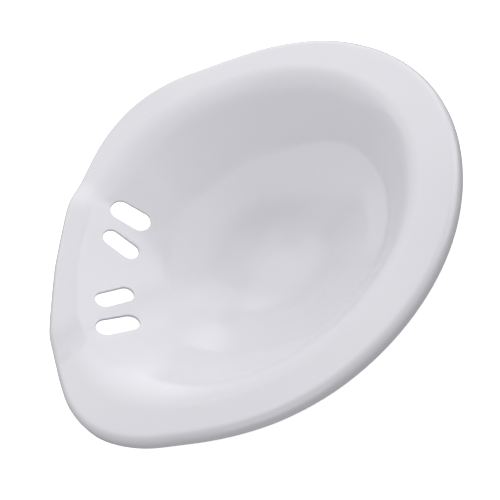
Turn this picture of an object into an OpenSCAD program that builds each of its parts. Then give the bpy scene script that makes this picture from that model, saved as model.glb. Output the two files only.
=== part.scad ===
// Over-toilet basin: one thin moulded shell with a wide flange, a rolled-down
// edge, a conical wall, a shallow dish with a flat foot, a sloping back ramp
// with four vent slots and a raised back lip.
// Millimetres. +Z is up, +Y is the back (slots), the shell is mirrored about
// the plane X = 0, and the origin is the middle of the bounding box on the foot.

/* [Flange] */
// Height of the flange above the foot, mm
rim_height = 70; // [64:0.5:78]
// Radius of the round front of the outer edge, mm
edge_radius = 182; // [176:1:188]
// Height of the rolled-down edge, mm
lip_height = 10.5; // [9:0.5:14]
// Radius of the rounded shoulder of the edge, mm
shoulder = 6; // [4:0.5:7]

/* [Bowl] */
// Radius of the bowl mouth where the wall meets the flange, mm
mouth_radius = 144; // [138:1:148]
// Softness of the rounding between wall and flange, mm of height
mouth_softness = 9.5; // [5:0.5:13]
// Rise of the dish per unit of radius
dish_slope = 0.5; // [0.4:0.01:0.55]
// Extra rise per unit of radius just inside the edge of the cupped floor
floor_cup = 0.06; // [0:0.01:0.16]
// Radius of the foot circle the dish rises from, mm
foot_radius = 33; // [28:0.5:38]
// Softness of the rounding at the bottom of the dish, mm of height
bottom_softness = 9; // [3:0.5:9]
// Wall thickness, mm
wall = 2.4; // [1.8:0.1:3]

/* [Back] */
// Height of the back lip above the flange where it begins, mm
back_rise = 5.5; // [4:0.5:8]
// Rise of the back lip per mm towards its outer edge
back_tilt = 0.22; // [0.1:0.01:0.4]

/* [Slots] */
// Width of the two slots nearest the middle, mm
inner_slot_width = 14; // [9:0.5:15]
// Length of the two slots nearest the middle, along the ramp, mm
inner_slot_length = 32.5; // [24:0.5:34]
// Width of the two outer slots, mm
outer_slot_width = 16.5; // [10:0.5:17]
// Length of the two outer slots, along the ramp, mm
outer_slot_length = 35; // [26:0.5:36]
// Turn of each pair of slots away from the back, degrees
slot_turn = 26.5; // [20:0.5:34]

/* [Hidden] */
// Part shown by the viewer
// Distance from the origin back to the centre of the bowl
yc = 14.75;
// Directions, in degrees above the side of the bowl, that carry grid lines
HALF = [-90, -84, -78, -72, -66, -60, -54, -48, -42, -36, -30, -24, -18, -12,
        -6, 0, 5, 10, 15, 20, 25, 30, 35, 40, 45, 50, 54, 56.8, 59.7, 62.7,
        65.6, 69, 73, 77, 81.5, 86];
// Outer edge: direction above the side, radius at edge_radius = 182
EDGE = [[-90, 181.5], [-60, 183.5], [-30, 184.5], [-15, 183.5], [0, 182],
        [10, 183], [20, 187.5], [30, 189], [37, 186.5], [44, 181.5],
        [50, 175.5], [55, 171], [59, 167.5], [62, 165], [65.5, 162.5],
        [70, 159], [76, 155], [83, 152.5], [90, 152]];
// Knee where the wall meets the dish: direction above the side, radius
KNEE = [[-90, 116], [-75, 116], [-60, 114.5], [-40, 110], [-20, 101.5],
        [-8, 98.5], [0, 97.5], [11, 95], [21, 91.5], [31, 89], [42, 87],
        [52, 85], [65, 81.5], [78, 77], [90, 75.5]];
// Edge of the cupped floor inside the knee: direction above the side, radius
FLOOR = [[-90, 98], [-75, 92], [-60, 81], [-30, 66], [0, 60], [20, 60],
         [38, 58], [57, 53], [75, 49], [90, 48]];
// Mouth where the wall runs out: direction above the side, share of
// mouth_radius, height above rim_height, sag of the wall below a straight line
MOUTH = [[-90, 1, -1, 0], [20, 1, -0.7, 0], [40, 1, 0.3, 0],
         [50, 0.98, 0.5, 0.5], [57, 0.962, 0, 1], [62, 0.951, 0.5, 1.4],
         [66, 0.945, 3, 1.9], [75, 0.92, 5, 2.8], [90, 0.906, 5.6, 3.2]];
// Softness of the rounding round the foot on the outside, and at the knee
FOOT_SOFT = 3;
KNEE_SOFT = 1;
// Softness of the rounding between the ramp and the back lip
BACK_SOFT = 2.5;
// Slots of one side: middle of the slot from the bowl centre, length, width
SLOTS = [[26, 106.8, inner_slot_length, inner_slot_width],
         [53.9, 101.2, outer_slot_length, outer_slot_width]];

// --- small helpers -------------------------------------------------------
function clamp(v, lo, hi) = min(max(v, lo), hi);
function mix(a, b, t) = a + (b - a) * t;
function step3(a, b, v) = let(t = clamp((v - a) / (b - a), 0, 1)) t * t * (3 - 2 * t);
function smin(a, b, k) = let(h = max(k - abs(a - b), 0) / k) min(a, b) - h * h * k / 4;
function smax(a, b, k) = -smin(-a, -b, k);
// direction above the side of the bowl, the same on both sides
function fold(x, y) = atan2(y, abs(x));

// --- smooth curve through a table of [direction, value, ...] -------------
function seg(T, f, i = 0) = (i >= len(T) - 2 || f < T[i + 1][0]) ? i : seg(T, f, i + 1);
function knot(T, i, c) =
    (i == 0 || i == len(T) - 1) ? 0
    : (T[i + 1][c] - T[i - 1][c]) / (T[i + 1][0] - T[i - 1][0]);
function curve(T, f, c = 1) =
    let(i = seg(T, f), p = T[i], q = T[i + 1], h = q[0] - p[0],
        t = clamp((f - p[0]) / h, 0, 1))
    (2 * t * t * t - 3 * t * t + 1) * p[c] + (t * t * t - 2 * t * t + t) * h * knot(T, i, c)
    + (3 * t * t - 2 * t * t * t) * q[c] + (t * t * t - t * t) * h * knot(T, i + 1, c);
function edge_r(f) = edge_radius / 182 * curve(EDGE, f);
function knee_r(f) = curve(KNEE, f);

// --- inside surface as a height over (x, y) from the bowl centre ---------
// share of the raised back lip in a direction, 0 on the flange and 1 across
// the back, with softened ends
function back(f) = let(t = (f - 56.8) / 8.8) smax(smin(t, 1, 0.3), 0, 0.3);
function flange_z(x, y) =
    rim_height + 2.2 * step3(0, 100, y) + 0.02 * (norm([x, y]) - 165);
function lip_z(x, y) = rim_height + back_rise + back_tilt * (y - 130.3);
function top_z(x, y) = mix(flange_z(x, y), lip_z(x, y), back(fold(x, y)));
// the dish is a wide cone, steepened towards the edge of the cupped floor and
// flatter in the band from there out to the knee
function band_z(r, rf, rk) = floor_cup
    * smax(smin(r - rf + 25, 25 * (rk - r) / (rk - rf), 7), 0, 8);
function dish_z(x, y, soft) =
    let(f = fold(x, y), r = norm([x, y]))
    wall + smax(0, dish_slope * (norm([x, y + 8]) - foot_radius), soft)
    + band_z(r, curve(FLOOR, f), knee_r(f));
// the wall runs up along every radius from the knee to the mouth, straight
// round the front and sides, sagging a little on the ramp at the back
function wall_z(x, y) =
    let(f = fold(x, y), c = cos(f), s = sin(f), k = knee_r(f),
        m = mouth_radius * curve(MOUTH, f), zk = dish_z(k * c, k * s, FOOT_SOFT),
        zm = rim_height + curve(MOUTH, f, 2),
        t = (norm([x, y]) - k) / (m - k), u = clamp(t, 0, 1))
    zk + t * (zm - zk) - curve(MOUTH, f, 3) * 4 * u * (1 - u);
function bowl_z(x, y, soft) = smax(dish_z(x, y, soft), wall_z(x, y), KNEE_SOFT);
function inner_z(x, y, soft = bottom_softness) =
    smin(top_z(x, y), bowl_z(x, y, soft), mix(mouth_softness, BACK_SOFT, back(fold(x, y))));

// --- radius where the wall meets the flange, found by halving ------------
function mouth_gap(r, c, s) = wall_z(r * c, r * s) - top_z(r * c, r * s);
function find_mouth(c, s, lo = 90, hi = 155, n = 14) =
    n == 0 ? (lo + hi) / 2 : let(m = (lo + hi) / 2)
    mouth_gap(m, c, s) > 0 ? find_mouth(c, s, lo, m, n - 1) : find_mouth(c, s, m, hi, n - 1);
// radius from the bowl centre to a circle about the dish centre
function dish_ring(rad, c, s) = -8 * s + sqrt(rad * rad - 64 * c * c);

// --- one radial line of the shell ----------------------------------------
function radii(c, s) =
    let(f = fold(c, s), h = mix(1.35 * mouth_softness, 4.5, back(f)),
        k = knee_r(f), m = find_mouth(c, s), e = edge_r(f) - shoulder,
        w = curve(FLOOR, f), d = dish_ring(foot_radius + 7, c, s))
    concat([for (v = [-19, -13, -7, -1]) dish_ring(foot_radius + v, c, s)],
        [d, mix(d, w - 4, 0.5), w - 4, w, w + 4,
         mix(w + 4, k - 3, 0.5), k - 3, k, k + 3,
         mix(k + 3, m - h, 0.35), mix(k + 3, m - h, 0.7), m - h, m - h / 2, m,
         m + h / 2, m + h, (m + h + e) / 2, e]);
function on_top(r, c, s) = [r * c, r * s, inner_z(r * c, r * s)];
// the outer face: the same point of the shell, moved through the wall square
// to the surface, with the tighter rounding round the foot
function under(r, c, s) =
    let(x = r * c, y = r * s, e = 0.05, k = FOOT_SOFT,
        gx = (inner_z(x + e, y, k) - inner_z(x - e, y, k)) / (2 * e),
        gy = (inner_z(x, y + e, k) - inner_z(x, y - e, k)) / (2 * e),
        l = sqrt(1 + gx * gx + gy * gy))
    [x + wall * gx / l, y + wall * gy / l, inner_z(x, y, k) - wall / l];
function spoke(c, s) =
    let(R = radii(c, s), n = len(R), e = edge_r(fold(c, s)), q = e - shoulder,
        z = inner_z(q * c, q * s), zb = z - lip_height, i = shoulder - wall)
    concat(
        [for (r = R) on_top(r, c, s)],
        [for (a = [30, 60, 90]) let(r = q + shoulder * sin(a))
            [r * c, r * s, z - shoulder + shoulder * cos(a)]],
        [[e * c, e * s, zb + wall / 2], [(e - wall / 2) * c, (e - wall / 2) * s, zb],
         [(e - wall) * c, (e - wall) * s, zb + wall / 2]],
        [for (a = [90, 45]) let(r = q + i * sin(a))
            [r * c, r * s, z - shoulder + i * cos(a)]],
        [for (j = [n - 1:-1:0]) under(R[j], c, s)]);

// --- regions of the shell ---------------------------------------------------
// directions round the whole shell, counter-clockwise, mirrored about X = 0
DIRS = concat([for (a = HALF) a], [90], [for (j = [len(HALF) - 1:-1:1]) 180 - HALF[j]]);
NA = len(DIRS);
// grid lines where the back begins and ends, 54 degrees above either side
BACK_A = 26;
BACK_B = NA - 26;
// places along a spoke: knee, start of the mouth rounding, mouth, shoulder
KNEE_K = 11;
ROLL_K = 15;
MOUTH_K = 17;
SEAT_K = 21;

// the piece of shell between two places on the spokes and two grid lines; with
// hook = true it goes on round the rolled edge, and with i1 = i0 + NA it closes
module region(i0, i1, k0, k1, hook = false) {
    whole = i1 - i0 == NA;
    n = whole ? NA : i1 - i0 + 1;
    last = 2 * SEAT_K + 9;
    // the two faces of the wall, paired, from the inner end to the outer end
    outer = concat([for (k = [k0:k1]) k], hook ? [for (k = [1:5]) SEAT_K + k] : []);
    inner = concat([for (k = [k0:k1]) last - k], hook ? [for (k = [8, 8, 7, 6, 5]) SEAT_K + k] : []);
    loop = concat([for (k = [k0:k1]) k], hook ? [for (k = [1:8]) SEAT_K + k] : [],
                  [for (k = [k1:-1:k0]) last - k]);
    nr = len(loop);
    lines = [for (i = [0:n - 1]) let(a = DIRS[(i0 + i) % NA], l = spoke(cos(a), sin(a)))
        [for (k = loop) [l[k][0], l[k][1] + yc, l[k][2]]]];
    pts = concat([for (l = lines) for (p = l) p], k0 == 0 ? [[0, yc - 8, wall], [0, yc - 8, 0]] : []);
    function id(i, k) = (i % n) * nr + k;
    function at(i, k) = (i % n) * nr + search(k, loop)[0];
    // both halves take mirrored diagonals, and so do two regions at their joint
    sides = [for (i = [0:(whole ? n - 1 : n - 2)]) for (k = [0:nr - (k0 == 0 ? 2 : 1)])
        let(h = (i0 + i) % NA < NA / 2, j = (k + 1) % nr)
        each ((k == nr - 1 ? !h : h)
            ? [[id(i, k), id(i + 1, k), id(i + 1, j)], [id(i, k), id(i + 1, j), id(i, j)]]
            : [[id(i, k), id(i + 1, k), id(i, j)], [id(i + 1, k), id(i + 1, j), id(i, j)]])];
    discs = k0 > 0 ? [] : [for (i = [0:n - 1])
        each [[n * nr, id(i + 1, 0), id(i, 0)], [n * nr + 1, id(i, nr - 1), id(i + 1, nr - 1)]]];
    m = len(outer);
    ends = whole ? [] : [for (j = [0:m - 2]) for (t = [
            [outer[j], outer[j + 1], inner[j + 1]], [outer[j], inner[j + 1], inner[j]]])
        if (t[0] != t[1] && t[1] != t[2] && t[2] != t[0])
            each [[for (k = t) at(0, k)], [for (q = [2:-1:0]) at(n - 1, t[q])]]];
    polyhedron(points = pts, faces = concat(sides, discs, ends), convexity = 6);
}

// one vent slot: a cutter with round ends, standing square to the ramp
module slot_cutter(side, p) {
    x = side * p[0];
    y = p[1];
    e = 0.05;
    a = side * slot_turn;
    n0 = [-(inner_z(x + e, y) - inner_z(x - e, y)) / (2 * e),
          -(inner_z(x, y + e) - inner_z(x, y - e)) / (2 * e), 1];
    n = n0 / norm(n0);
    h = [sin(a), cos(a), 0];
    d0 = h - n * (h * n);
    d = d0 / norm(d0);
    w = cross(d, n);
    span = p[2] - p[3];
    multmatrix([[w[0], d[0], n[0], x], [w[1], d[1], n[1], y + yc],
                [w[2], d[2], n[2], inner_z(x, y)]]) {
        translate([-p[3] / 2, -span / 2, -9]) cube([p[3], span, 18]);
        for (q = [-1, 1])
            translate([0, q * span / 2, -9]) cylinder(d = p[3], h = 18, $fn = 48);
    }
}

// The basin is a single moulding. It is made as six regions of that moulding,
// which meet face to face with no gap: the shallow dish with the flat foot,
module dish() {
    color([0.93, 0.93, 0.95]) region(0, NA, 0, KNEE_K);
}

// the conical wall round the front and sides,
module bowl_wall() {
    color([0.86, 0.87, 0.93]) region(BACK_B, BACK_A + NA, KNEE_K, MOUTH_K);
}

// the sloping ramp at the back with its four vent slots,
module vent_panel() {
    color([0.93, 0.88, 0.86])
    difference() {
        region(BACK_A, BACK_B, KNEE_K, ROLL_K);
        for (side = [-1, 1]) for (p = SLOTS) slot_cutter(side, p);
    }
}

// the wide flange that lies on the toilet rim,
module flange() {
    color([0.90, 0.93, 0.88]) region(BACK_B, BACK_A + NA, MOUTH_K, SEAT_K);
}

// the edge rolled down round the flange,
module rolled_edge() {
    color([0.84, 0.90, 0.90]) region(BACK_B, BACK_A + NA, SEAT_K, SEAT_K, true);
}

// and the raised lip across the back, with the edge rolled down behind it.
module back_lip() {
    color([0.90, 0.86, 0.92]) region(BACK_A, BACK_B, ROLL_K, SEAT_K, true);
}

dish();
bowl_wall();
vent_panel();
flange();
rolled_edge();
back_lip();
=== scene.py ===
import math

import bpy
import numpy as np
from mathutils import Matrix, Vector, geometry


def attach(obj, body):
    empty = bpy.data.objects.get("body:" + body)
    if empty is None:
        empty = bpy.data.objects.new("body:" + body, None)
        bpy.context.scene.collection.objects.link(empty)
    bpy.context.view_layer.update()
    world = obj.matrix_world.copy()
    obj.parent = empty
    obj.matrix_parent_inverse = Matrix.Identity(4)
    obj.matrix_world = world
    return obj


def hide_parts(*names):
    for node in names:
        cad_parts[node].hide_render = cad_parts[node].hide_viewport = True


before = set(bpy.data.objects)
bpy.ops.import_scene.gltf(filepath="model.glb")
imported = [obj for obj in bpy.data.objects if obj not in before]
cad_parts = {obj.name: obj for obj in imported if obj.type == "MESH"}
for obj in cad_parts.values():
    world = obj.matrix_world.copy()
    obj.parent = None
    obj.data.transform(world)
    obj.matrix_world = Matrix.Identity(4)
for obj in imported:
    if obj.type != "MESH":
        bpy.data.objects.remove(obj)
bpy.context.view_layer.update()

# ---------------------------------------------------------------------------
# the basin's surface, in millimetres from the bowl centre (x, y) and the foot
# ---------------------------------------------------------------------------
YC = 14.75
RIM = 70.0
LIP_H = 10.5
SHOULDER = 6.0
WALL = 2.4
FOOT_R = 33.0
DISH = 0.5
CUP = 0.06        # the cupped floor is this much steeper than DISH
BOTTOM = 9.0      # softness of the dish's bottom inside
FOOT = 3.0        # and outside, round the flat foot
MOUTH_ROLL = 9.5
KNEE_ROLL = 1.0
BACK_ROLL = 2.5
MOUTH_R = 144.0
BACK_RISE = 5.5
BACK_TILT = 0.22

EDGE = np.array([
    (-90, 181.5), (-60, 183.5), (-30, 184.5), (-15, 183.5), (0, 182),
    (10, 183), (20, 187.5), (30, 189), (37, 186.5), (44, 181.5), (50, 175.5),
    (55, 171), (59, 167.5), (62, 165), (65.5, 162.5), (70, 159), (76, 155),
    (83, 152.5), (90, 152)], float)
KNEE = np.array([
    (-90, 116), (-75, 116), (-60, 114.5), (-40, 110), (-20, 101.5),
    (-8, 98.5), (0, 97.5), (11, 95), (21, 91.5), (31, 89), (42, 87),
    (52, 85), (65, 81.5), (78, 77), (90, 75.5)], float)
FLOOR = np.array([
    (-90, 98), (-75, 92), (-60, 81), (-30, 66), (0, 60), (20, 60), (38, 58),
    (57, 53), (75, 49), (90, 48)], float)
MOUTH = np.array([
    (-90, 1, -1, 0), (20, 1, -0.7, 0), (40, 1, 0.3, 0), (50, 0.98, 0.5, 0.5),
    (57, 0.962, 0, 1), (62, 0.951, 0.5, 1.4), (66, 0.945, 3, 1.9),
    (75, 0.92, 5, 2.8), (90, 0.906, 5.6, 3.2)], float)
# middle of a slot, length, width, turn away from the back
SLOTS = [(26.0, 106.8, 32.5, 14.0, 26.5), (53.9, 101.2, 35.0, 16.5, 26.5)]


def curve(T, f, c=1):
    X, Y = T[:, 0], T[:, c]
    m = np.zeros(len(X))
    m[1:-1] = (Y[2:] - Y[:-2]) / (X[2:] - X[:-2])
    f = np.clip(f, X[0], X[-1])
    i = np.clip(np.searchsorted(X, f, side="right") - 1, 0, len(X) - 2)
    h = X[i + 1] - X[i]
    t = (f - X[i]) / h
    return ((2 * t**3 - 3 * t**2 + 1) * Y[i] + (t**3 - 2 * t**2 + t) * h * m[i]
            + (3 * t**2 - 2 * t**3) * Y[i + 1] + (t**3 - t**2) * h * m[i + 1])


def smin(a, b, k):
    h = np.maximum(k - np.abs(a - b), 0) / k
    return np.minimum(a, b) - h * h * k / 4


def smax(a, b, k):
    return -smin(-a, -b, k)


def fold(x, y):
    return np.degrees(np.arctan2(y, np.abs(x)))


def back(f):
    # 0 on the flange, 1 across the back lip, with softened ends
    t = (f - 56.8) / 8.8
    return smax(smin(t, np.ones_like(t), 0.3), np.zeros_like(t), 0.3)


def top_z(x, y, f):
    r = np.hypot(x, y)
    t = np.clip(y / 100, 0, 1)
    flange = RIM + 2.2 * t * t * (3 - 2 * t) + 0.02 * (r - 165)
    lip = RIM + BACK_RISE + BACK_TILT * (y - 130.3)
    b = back(f)
    return flange + (lip - flange) * b, b


def dish_z(x, y, k=BOTTOM):
    # a cupped floor, then a flatter band from the floor's edge out to the knee
    r = np.hypot(x, y)
    f = fold(x, y)
    rf, rk = curve(FLOOR, f), curve(KNEE, f)
    zero = np.zeros_like(r)
    band = smax(smin(r - rf + 25, 25 * (rk - r) / (rk - rf), 7.0), zero, 8.0)
    return WALL + smax(zero, DISH * (np.hypot(x, y + 8) - FOOT_R), k) + CUP * band


def wall_z(x, y, f):
    c, s = np.cos(np.radians(f)), np.sin(np.radians(f))
    k = curve(KNEE, f)
    m = MOUTH_R * curve(MOUTH, f)
    zk = dish_z(k * c, k * s, FOOT)
    zm = RIM + curve(MOUTH, f, 2)
    t = (np.hypot(x, y) - k) / (m - k)
    u = np.clip(t, 0, 1)
    return zk + t * (zm - zk) - curve(MOUTH, f, 3) * 4 * u * (1 - u)


def inner_z(x, y, k=BOTTOM):
    x = np.asarray(x, float)
    y = np.asarray(y, float)
    f = fold(x, y)
    bowl = smax(dish_z(x, y, k), wall_z(x, y, f), KNEE_ROLL)
    top, b = top_z(x, y, f)
    return smin(top, bowl, MOUTH_ROLL + (BACK_ROLL - MOUTH_ROLL) * b)


def slope(x, y, k, e=0.05):
    return ((inner_z(x + e, y, k) - inner_z(x - e, y, k)) / (2 * e),
            (inner_z(x, y + e, k) - inner_z(x, y - e, k)) / (2 * e))


def under_z(x, y):
    gx, gy = slope(x, y, FOOT)
    return inner_z(x, y, FOOT) - WALL * np.sqrt(1 + gx * gx + gy * gy)


# ---------------------------------------------------------------------------
# mesh: rings and spokes, with a fine patch round each pair of slots
# ---------------------------------------------------------------------------
NA = 720
ang = np.radians(np.arange(NA) * 360.0 / NA)
ca, sa = np.cos(ang), np.sin(ang)
fo = np.degrees(np.arctan2(sa, np.abs(ca)))
edge = curve(EDGE, fo)
seat = edge - SHOULDER
knee = curve(KNEE, fo)


def mouth_radius():
    lo = np.full(NA, 90.0)
    hi = np.full(NA, 155.0)
    for _ in range(30):
        m = (lo + hi) / 2
        x, y = m * ca, m * sa
        over = wall_z(x, y, fo) > top_z(x, y, fo)[0]
        hi = np.where(over, m, hi)
        lo = np.where(over, lo, m)
    return (lo + hi) / 2


mouth = mouth_radius()
bk = back(fo)
half = 1.35 * MOUTH_ROLL + (4.5 - 1.35 * MOUTH_ROLL) * bk


def circle(rad):
    return -8 * sa + np.sqrt(rad * rad - 64 * ca * ca)


def between(a, b, n, last=False):
    return [a + (b - a) * t for t in np.linspace(0, 1, n + 1)[:n + (1 if last else 0)]]


rings = []
rings += between(circle(12.0), circle(FOOT_R - 8), 4)
rings += between(circle(FOOT_R - 8), circle(FOOT_R + 8), 12)
rings += between(circle(FOOT_R + 8), knee - 4, 20)
rings += between(knee - 4, knee + 4, 16)
rings += between(knee + 4, mouth - half, 30)
rings += between(mouth - half, mouth + half, 24)
rings += between(mouth + half, seat, 14, last=True)
R = np.array(rings)                       # rings x spokes
NR = len(R)
TX, TY = R * ca, R * sa

verts = []
faces = []


def add(x, y, z):
    n0 = len(verts)
    verts.extend(np.c_[np.ravel(x), np.ravel(y) + YC, np.ravel(z)].tolist())
    return np.arange(n0, n0 + np.size(x)).reshape(np.shape(x))


top = add(TX, TY, inner_z(TX, TY))
bot = add(TX, TY, under_z(TX, TY))


def slot_frame(side, spec):
    # middle of the slot on the ramp, its cross, long and outward directions
    x, y, length, width, turn = spec
    x, turn = side * x, math.radians(side * turn)
    e = 0.05
    gx = float(inner_z(x + e, y) - inner_z(x - e, y)) / (2 * e)
    gy = float(inner_z(x, y + e) - inner_z(x, y - e)) / (2 * e)
    n = np.array([-gx, -gy, 1.0])
    n /= np.linalg.norm(n)
    h = np.array([math.sin(turn), math.cos(turn), 0.0])
    d = h - n * (h @ n)
    d /= np.linalg.norm(d)
    return np.array([x, y, float(inner_z(x, y))]), np.cross(d, n), d, n, length, width


def stadium(length, width, grow, n=28):
    r = width / 2 + grow
    s = (length - width) / 2
    pts = []
    for k in range(n + 1):
        a = math.pi * k / n
        pts.append((r * math.cos(a), s + r * math.sin(a)))
    for k in range(1, 9):
        pts.append((-r, s - 2 * s * k / 9))
    for k in range(n + 1):
        a = math.pi + math.pi * k / n
        pts.append((r * math.cos(a), -s + r * math.sin(a)))
    for k in range(1, 9):
        pts.append((r, -s + 2 * s * k / 9))
    return np.array(pts)


def onto(fn, fr, grow):
    # the slot's outline carried square to the ramp onto a skin of the shell
    C, w, d, n, length, width = fr
    ab = stadium(length, width, grow)
    P = C + ab[:, :1] * w + ab[:, 1:] * d
    t = np.zeros(len(P))
    for _ in range(20):
        Q = P + t[:, None] * n
        t = t + (fn(Q[:, 0], Q[:, 1]) - Q[:, 2]) * n[2]
    return P + t[:, None] * n


def outside(poly, x, y):
    inside = False
    for a, b in zip(poly, np.roll(poly, -1, axis=0)):
        if (a[1] > y) != (b[1] > y) and x < (b[0] - a[0]) * (y - a[1]) / (b[1] - a[1]) + a[0]:
            inside = not inside
    return not inside


def gap(poly, x, y):
    return float(np.min(np.hypot(poly[:, 0] - x, poly[:, 1] - y)))


# block of the grid each pair of slots sits in
rim_pts = np.concatenate([onto(fn, slot_frame(1, spec), 2.7)
                          for spec in SLOTS for fn in (inner_z, under_z)])
rim_r = np.hypot(rim_pts[:, 0], rim_pts[:, 1])
rim_i = np.degrees(np.arctan2(rim_pts[:, 1], rim_pts[:, 0])) * NA / 360
reach = np.array([np.interp(rim_i, np.arange(NA), R[k]) - rim_r for k in range(NR)])
k0 = int(np.where(reach.max(axis=1) < -1.2)[0].max())
k1 = int(np.where(reach.min(axis=1) > 1.2)[0].min())
BLOCKS = [(1, 96, 168), (-1, 192, 264)]
ROUND = 0.7
in_block = np.zeros((NR, NA), bool)
slot_rims = []

for side, i0, i1 in BLOCKS:
    in_block[k0:k1, i0:i1] = True
    loop = ([(k0, i) for i in range(i0, i1)] + [(k, i1) for k in range(k0, k1)]
            + [(k1, i) for i in range(i1, i0, -1)] + [(k, i0) for k in range(k1, k0, -1)])
    frames = [slot_frame(side, spec) for spec in SLOTS]
    rims = []
    for skin, ids, fn in (("top", top, inner_z), ("bottom", bot, under_z)):
        pts, index, edges = [], [], []

        def put(x, y, i):
            pts.append(Vector((float(x), float(y))))
            index.append(int(i))
            return len(pts) - 1

        border = [put(TX[k, i], TY[k, i], ids[k, i]) for k, i in loop]
        edges += [(border[j], border[(j + 1) % len(border)]) for j in range(len(border))]
        holes, keep = [], []
        for fr in frames:
            for grow in (2.7, 1.6, ROUND):
                P = onto(fn, fr, grow)
                v = add(P[:, 0], P[:, 1], P[:, 2])
                ring = [put(P[j, 0], P[j, 1], v[j]) for j in range(len(P))]
                edges += [(ring[j], ring[(j + 1) % len(ring)]) for j in range(len(ring))]
                if grow == 2.7:
                    keep.append(P[:, :2])
            holes.append(P[:, :2])
            rims.append((fr, skin, v))
        for k in range(k0 + 1, k1):
            for i in range(i0 + 1, i1):
                x, y = TX[k, i], TY[k, i]
                if all(outside(q, x, y) and gap(q, x, y) > 0.9 for q in keep):
                    put(x, y, ids[k, i])
        out = geometry.delaunay_2d_cdt(pts, edges, [], 0, 1e-6)
        vs, tris, orig = out[0], out[2], out[3]
        poly = np.array([(pts[j][0], pts[j][1]) for j in border])
        for tri in tris:
            gx = sum(vs[j][0] for j in tri) / 3
            gy = sum(vs[j][1] for j in tri) / 3
            if outside(poly, gx, gy) or any(not outside(q, gx, gy) for q in holes):
                continue
            area2 = ((vs[tri[1]][0] - vs[tri[0]][0]) * (vs[tri[2]][1] - vs[tri[0]][1])
                     - (vs[tri[2]][0] - vs[tri[0]][0]) * (vs[tri[1]][1] - vs[tri[0]][1]))
            if (area2 > 0) != (skin == "top"):
                tri = tri[::-1]
            faces.append([index[orig[j][0]] for j in tri])
    for (fr, _, t), (_, _, b) in zip(rims[:2], rims[2:]):
        slot_rims.append((fr, t, b))

# slot walls: rounded over at the top and at the bottom
for fr, t, b in slot_rims:
    n = fr[3]
    prev = t
    loops = []
    for a in (22.5, 45, 67.5, 90):
        g = ROUND * (1 - math.sin(math.radians(a)))
        loops.append(onto(inner_z, fr, g) - n * ROUND * (1 - math.cos(math.radians(a))))
    for a in (90, 60, 30):
        g = ROUND * (1 - math.sin(math.radians(a)))
        loops.append(onto(under_z, fr, g) + n * ROUND * (1 - math.cos(math.radians(a))))
    N = len(t)
    for P in loops:
        cur = add(P[:, 0], P[:, 1], P[:, 2])
        for j in range(N):
            jj = (j + 1) % N
            faces.append([int(prev[j]), int(prev[jj]), int(cur[jj]), int(cur[j])])
        prev = cur
    for j in range(N):
        jj = (j + 1) % N
        faces.append([int(prev[j]), int(prev[jj]), int(b[jj]), int(b[j])])

# the plain grid
for k in range(NR - 1):
    for i in range(NA):
        if in_block[k, i]:
            continue
        j = (i + 1) % NA
        faces.append([int(top[k, i]), int(top[k + 1, i]), int(top[k + 1, j]), int(top[k, j])])
        faces.append([int(bot[k, i]), int(bot[k, j]), int(bot[k + 1, j]), int(bot[k + 1, i])])

# middle of the dish and of the foot
ct = int(add([0.0], [-8.0], [WALL])[0])
cb = int(add([0.0], [-8.0], [0.0])[0])
for i in range(NA):
    j = (i + 1) % NA
    faces.append([ct, int(top[0, i]), int(top[0, j])])
    faces.append([cb, int(bot[0, j]), int(bot[0, i])])

# rolled-down edge
zs = inner_z(seat * ca, seat * sa)
prof = []
for a in np.linspace(0, 90, 10)[1:]:
    prof.append((SHOULDER * math.sin(math.radians(a)), -SHOULDER + SHOULDER * math.cos(math.radians(a))))
for d in (-7.4, -8.6):
    prof.append((SHOULDER, d))
h = WALL / 2
for a in np.linspace(0, 180, 9):
    prof.append((SHOULDER - h + h * math.cos(math.radians(a)), -LIP_H + h - h * math.sin(math.radians(a))))
prof.append((SHOULDER - WALL, -7.6))
for a in np.linspace(90, 0, 7):
    i_r = SHOULDER - WALL
    prof.append((i_r * math.sin(math.radians(a)), -SHOULDER + i_r * math.cos(math.radians(a))))
prev = top[-1]
for d, z in prof[:-1]:
    r = seat + d
    cur = add(r * ca, r * sa, zs + z)
    for i in range(NA):
        j = (i + 1) % NA
        faces.append([int(prev[i]), int(cur[i]), int(cur[j]), int(prev[j])])
    prev = cur
for i in range(NA):
    j = (i + 1) % NA
    faces.append([int(prev[i]), int(bot[-1, i]), int(bot[-1, j]), int(prev[j])])

V = np.array(verts)
used = sorted({i for f in faces for i in f})
remap = {v: n for n, v in enumerate(used)}
V = V[used] / 1000.0
F = [[remap[i] for i in f] for f in faces]
mesh = bpy.data.meshes.new("basin_skin")
mesh.from_pydata(V.tolist(), [], F)
mesh.validate()
mesh.update()
for p in mesh.polygons:
    p.use_smooth = True
basin = bpy.data.objects.new("basin_skin", mesh)
bpy.context.scene.collection.objects.link(basin)

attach(basin, "root")
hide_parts("dish", "bowl_wall", "vent_panel", "flange", "rolled_edge",
            "back_lip")


# ---------------------------------------------------------------------------
# gloss white polypropylene
# ---------------------------------------------------------------------------
def node(nt, kind, **kw):
    n = nt.nodes.new(kind)
    for k, v in kw.items():
        setattr(n, k, v)
    return n


mat = bpy.data.materials.new("gloss_white_plastic")
mat.use_nodes = True
nt = mat.node_tree
nt.nodes.clear()
out = node(nt, "ShaderNodeOutputMaterial")
bsdf = node(nt, "ShaderNodeBsdfPrincipled")
nt.links.new(bsdf.outputs["BSDF"], out.inputs["Surface"])
geo = node(nt, "ShaderNodeTexCoord")

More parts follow.
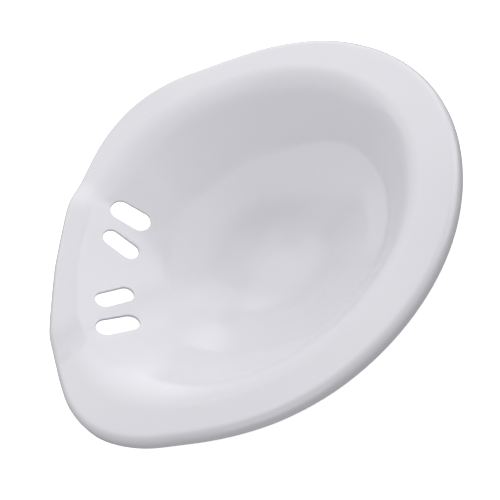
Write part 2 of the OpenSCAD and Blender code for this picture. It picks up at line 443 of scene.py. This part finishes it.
# slow drift of the resin's colour and a trace of grime
n1 = node(nt, "ShaderNodeTexNoise")
n1.inputs["Scale"].default_value = 9.0
n1.inputs["Detail"].default_value = 4.0
n1.inputs["Roughness"].default_value = 0.55
nt.links.new(geo.outputs["Object"], n1.inputs["Vector"])
ramp1 = node(nt, "ShaderNodeValToRGB")
ramp1.color_ramp.elements[0].position = 0.3
ramp1.color_ramp.elements[0].color = (0.713, 0.706, 0.750, 1)
ramp1.color_ramp.elements[1].position = 0.7
ramp1.color_ramp.elements[1].color = (0.729, 0.722, 0.767, 1)
nt.links.new(n1.outputs["Fac"], ramp1.inputs["Fac"])
n2 = node(nt, "ShaderNodeTexNoise")
n2.inputs["Scale"].default_value = 260.0
n2.inputs["Detail"].default_value = 3.0
nt.links.new(geo.outputs["Object"], n2.inputs["Vector"])
spk = node(nt, "ShaderNodeMapRange")
spk.inputs["From Min"].default_value = 0.66
spk.inputs["From Max"].default_value = 0.8
spk.inputs["To Min"].default_value = 0.0
spk.inputs["To Max"].default_value = 0.12
nt.links.new(n2.outputs["Fac"], spk.inputs["Value"])
mixc = node(nt, "ShaderNodeMix", data_type="RGBA")
mixc.inputs[7].default_value = (0.62, 0.61, 0.63, 1)
nt.links.new(spk.outputs["Result"], mixc.inputs[0])
nt.links.new(ramp1.outputs["Color"], mixc.inputs[6])
nt.links.new(mixc.outputs[2], bsdf.inputs["Base Color"])

# gloss that dulls a little in patches
n3 = node(nt, "ShaderNodeTexNoise")
n3.inputs["Scale"].default_value = 22.0
n3.inputs["Detail"].default_value = 6.0
nt.links.new(geo.outputs["Object"], n3.inputs["Vector"])
rr = node(nt, "ShaderNodeMapRange")
rr.inputs["From Min"].default_value = 0.3
rr.inputs["From Max"].default_value = 0.7
rr.inputs["To Min"].default_value = 0.13
rr.inputs["To Max"].default_value = 0.21
nt.links.new(n3.outputs["Fac"], rr.inputs["Value"])
nt.links.new(rr.outputs["Result"], bsdf.inputs["Roughness"])

# moulding flow waviness and fine scuffs
n4 = node(nt, "ShaderNodeTexNoise")
n4.inputs["Scale"].default_value = 26.0
n4.inputs["Detail"].default_value = 2.0
nt.links.new(geo.outputs["Object"], n4.inputs["Vector"])
b1 = node(nt, "ShaderNodeBump")
b1.inputs["Strength"].default_value = 0.25
b1.inputs["Distance"].default_value = 0.0006
nt.links.new(n4.outputs["Fac"], b1.inputs["Height"])
n5 = node(nt, "ShaderNodeTexNoise")
n5.inputs["Scale"].default_value = 700.0
n5.inputs["Detail"].default_value = 2.0
nt.links.new(geo.outputs["Object"], n5.inputs["Vector"])
b2 = node(nt, "ShaderNodeBump")
b2.inputs["Strength"].default_value = 0.06
b2.inputs["Distance"].default_value = 0.0001
nt.links.new(n5.outputs["Fac"], b2.inputs["Height"])
nt.links.new(b1.outputs["Normal"], b2.inputs["Normal"])
nt.links.new(b2.outputs["Normal"], bsdf.inputs["Normal"])
bsdf.inputs["IOR"].default_value = 1.49
mesh.materials.append(mat)

# ---------------------------------------------------------------------------
# floor and light
# ---------------------------------------------------------------------------
fm = bpy.data.meshes.new("studio_floor")
fm.from_pydata([(-6, -6, 0), (6, -6, 0), (6, 6, 0), (-6, 6, 0)], [], [(0, 1, 2, 3)])
floor = bpy.data.objects.new("studio_floor", fm)
bpy.context.scene.collection.objects.link(floor)
fmat = bpy.data.materials.new("studio_white")
fmat.use_nodes = True
ft = fmat.node_tree
fb = ft.nodes["Principled BSDF"]
fb.inputs["Roughness"].default_value = 0.9
fb.inputs["Specular IOR Level"].default_value = 0.1
fb.inputs["Emission Color"].default_value = (1, 1, 1, 1)
fb.inputs["Emission Strength"].default_value = 0.7
fn = ft.nodes.new("ShaderNodeTexNoise")
fn.inputs["Scale"].default_value = 3.0
fr = ft.nodes.new("ShaderNodeValToRGB")
fr.color_ramp.elements[0].color = (0.93, 0.93, 0.93, 1)
fr.color_ramp.elements[1].color = (0.95, 0.95, 0.95, 1)
ft.links.new(fn.outputs["Fac"], fr.inputs["Fac"])
ft.links.new(fr.outputs["Color"], fb.inputs["Base Color"])
fm.materials.append(fmat)

floor.visible_diffuse = False
floor.visible_glossy = False

world = bpy.data.worlds.new("studio") if not bpy.context.scene.world else bpy.context.scene.world
bpy.context.scene.world = world
world.use_nodes = True
wt = world.node_tree
bg = wt.nodes["Background"]
bg.inputs["Strength"].default_value = 1.0
# an even sky, dimmer below the horizon so that undersides fall off
wc = wt.nodes.new("ShaderNodeTexCoord")
wx = wt.nodes.new("ShaderNodeSeparateXYZ")
wr = wt.nodes.new("ShaderNodeMapRange")
wr.interpolation_type = "SMOOTHSTEP"
wr.inputs["From Min"].default_value = -0.12
wr.inputs["From Max"].default_value = 0.12
wr.inputs["To Min"].default_value = 0.22
wr.inputs["To Max"].default_value = 0.42
wt.links.new(wc.outputs["Generated"], wx.inputs[0])
wt.links.new(wx.outputs["Z"], wr.inputs["Value"])
wt.links.new(wr.outputs["Result"], bg.inputs["Color"])


def softbox(name, azimuth, elevation, power, size=2.0, reach=2.4):
    a, e = math.radians(azimuth), math.radians(elevation)
    aim = Vector((0, -0.004, 0.04))
    away = Vector((math.cos(a) * math.cos(e), math.sin(a) * math.cos(e), math.sin(e)))
    d = bpy.data.lights.new(name, "AREA")
    d.shape = "SQUARE"
    d.size = size
    d.energy = power
    o = bpy.data.objects.new(name, d)
    o.location = aim + away * reach
    o.rotation_euler = (-away).to_track_quat("-Z", "Y").to_euler()
    bpy.context.scene.collection.objects.link(o)
    return o


softbox("key_front", -60, 25, 17.4)
softbox("key_right", -30, 25, 7.5)
softbox("key_mid", 0, 25, 9.7)
softbox("key_back", 30, 25, 8.6)
softbox("high_back", 60, 50, 6.5)
softbox("top", 0, 72, 7.5)
softbox("fill", 180, 25, 14.5)

# ---------------------------------------------------------------------------
# camera
# ---------------------------------------------------------------------------
S = 0.9677
az, el, ro, dist = math.radians(-59.01), math.radians(44.04), math.radians(-37.9), 1.2 * S
bv = Vector((math.sin(az) * math.cos(el), -math.cos(az) * math.cos(el), math.sin(el)))
up0 = Vector((-math.sin(az) * math.sin(el), math.cos(az) * math.sin(el), math.cos(el)))
rt0 = up0.cross(bv)
right = rt0 * math.cos(ro) + up0 * math.sin(ro)
upv = -rt0 * math.sin(ro) + up0 * math.cos(ro)
pos = Vector((0, YC / 1000, 0.0353)) + bv * dist
cam_d = bpy.data.cameras.new("camera")
cam = bpy.data.objects.new("camera", cam_d)
m = Matrix.Identity(4)
for r_ in range(3):
    m[r_][0], m[r_][1], m[r_][2], m[r_][3] = right[r_], upv[r_], bv[r_], pos[r_]
cam.matrix_world = m
cam_d.sensor_width = 36.0
cam_d.lens = 1512.0 / 500 * 36
cam_d.clip_start = 0.05
cam_d.clip_end = 30
bpy.context.scene.collection.objects.link(cam)
bpy.context.scene.camera = cam

sc = bpy.context.scene
sc.view_settings.view_transform = "Standard"
sc.view_settings.look = "None"
sc.view_settings.exposure = 0.0
sc.view_settings.gamma = 1.0
